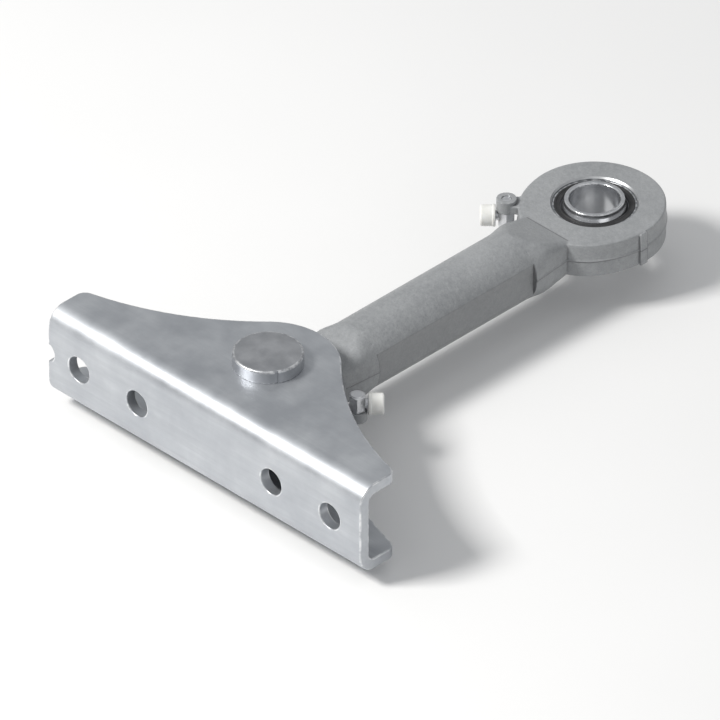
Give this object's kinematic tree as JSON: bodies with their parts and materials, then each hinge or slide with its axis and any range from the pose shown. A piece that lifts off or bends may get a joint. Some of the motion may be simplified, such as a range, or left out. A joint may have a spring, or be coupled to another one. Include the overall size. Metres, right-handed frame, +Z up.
{
  "type": "gate opener arm",
  "caption": "Gate opener arm: a folded U-shaped gate bracket and pivot pin carrying a cast arm with a spherical bearing eye at each end.",
  "frame": {"origin": "centre of the bracket's bolt holes, on its flat gate face", "axes": "+X along the bracket, +Y away from the gate along the arm at rest, +Z up along the pivot pin"},
  "size_m": [0.214, 0.3046, 0.0647],
  "materials": {
    "zinc_plate": "bright zinc plated steel plate, satin",
    "pin_steel": "turned and zinc plated",
    "zinc_hardware": "zinc plated hardware",
    "spring_steel": "phosphated spring steel",
    "bronze": "sintered bronze",
    "bearing_steel": "ground bearing steel",
    "race_steel": "phosphated bearing steel",
    "seal_rubber": "matt black rubber",
    "cast_arm": "light grey coat over a ductile iron casting",
    "cap_plastic": "soft natural polyethylene"
  },
  "bodies": {
    "bracket": {"gate_bracket": "zinc_plate", "pivot_pin": "pin_steel", "pin_washer": "zinc_hardware", "pin_retaining_ring": "spring_steel"},
    "swivel": {"rear_ball": "bearing_steel", "upper_spacer": "zinc_hardware", "lower_spacer": "zinc_hardware", "upper_thrust_washer": "bronze", "lower_thrust_washer": "bronze"},
    "arm": {"arm_casting": "cast_arm", "rear_race": "race_steel", "rear_upper_seal": "seal_rubber", "rear_lower_seal": "seal_rubber", "front_race": "race_steel", "front_upper_seal": "seal_rubber", "front_lower_seal": "seal_rubber", "rear_grease_nipple": "zinc_hardware", "rear_nipple_cap": "cap_plastic", "front_grease_nipple": "zinc_hardware", "front_nipple_cap": "cap_plastic"},
    "front_inner_ring": {"front_ball": "bearing_steel"}
  },
  "joints": [
    {"name": "arm_swing", "type": "hinge", "parent": "bracket", "child": "swivel", "pos_m": [0, 0.044, 0], "axis": [0, 0, 1], "range_deg": [-75, 75]},
    {"name": "arm_tilt", "type": "hinge", "parent": "swivel", "child": "arm", "pos_m": [0, 0.044, 0], "axis": [1, 0, 0], "range_deg": [-4, 4]},
    {"name": "front_ring_tilt", "type": "hinge", "parent": "arm", "child": "front_inner_ring", "pos_m": [0, 0.269, 0], "axis": [1, 0, 0], "range_deg": [-7, 7]}
  ]
}
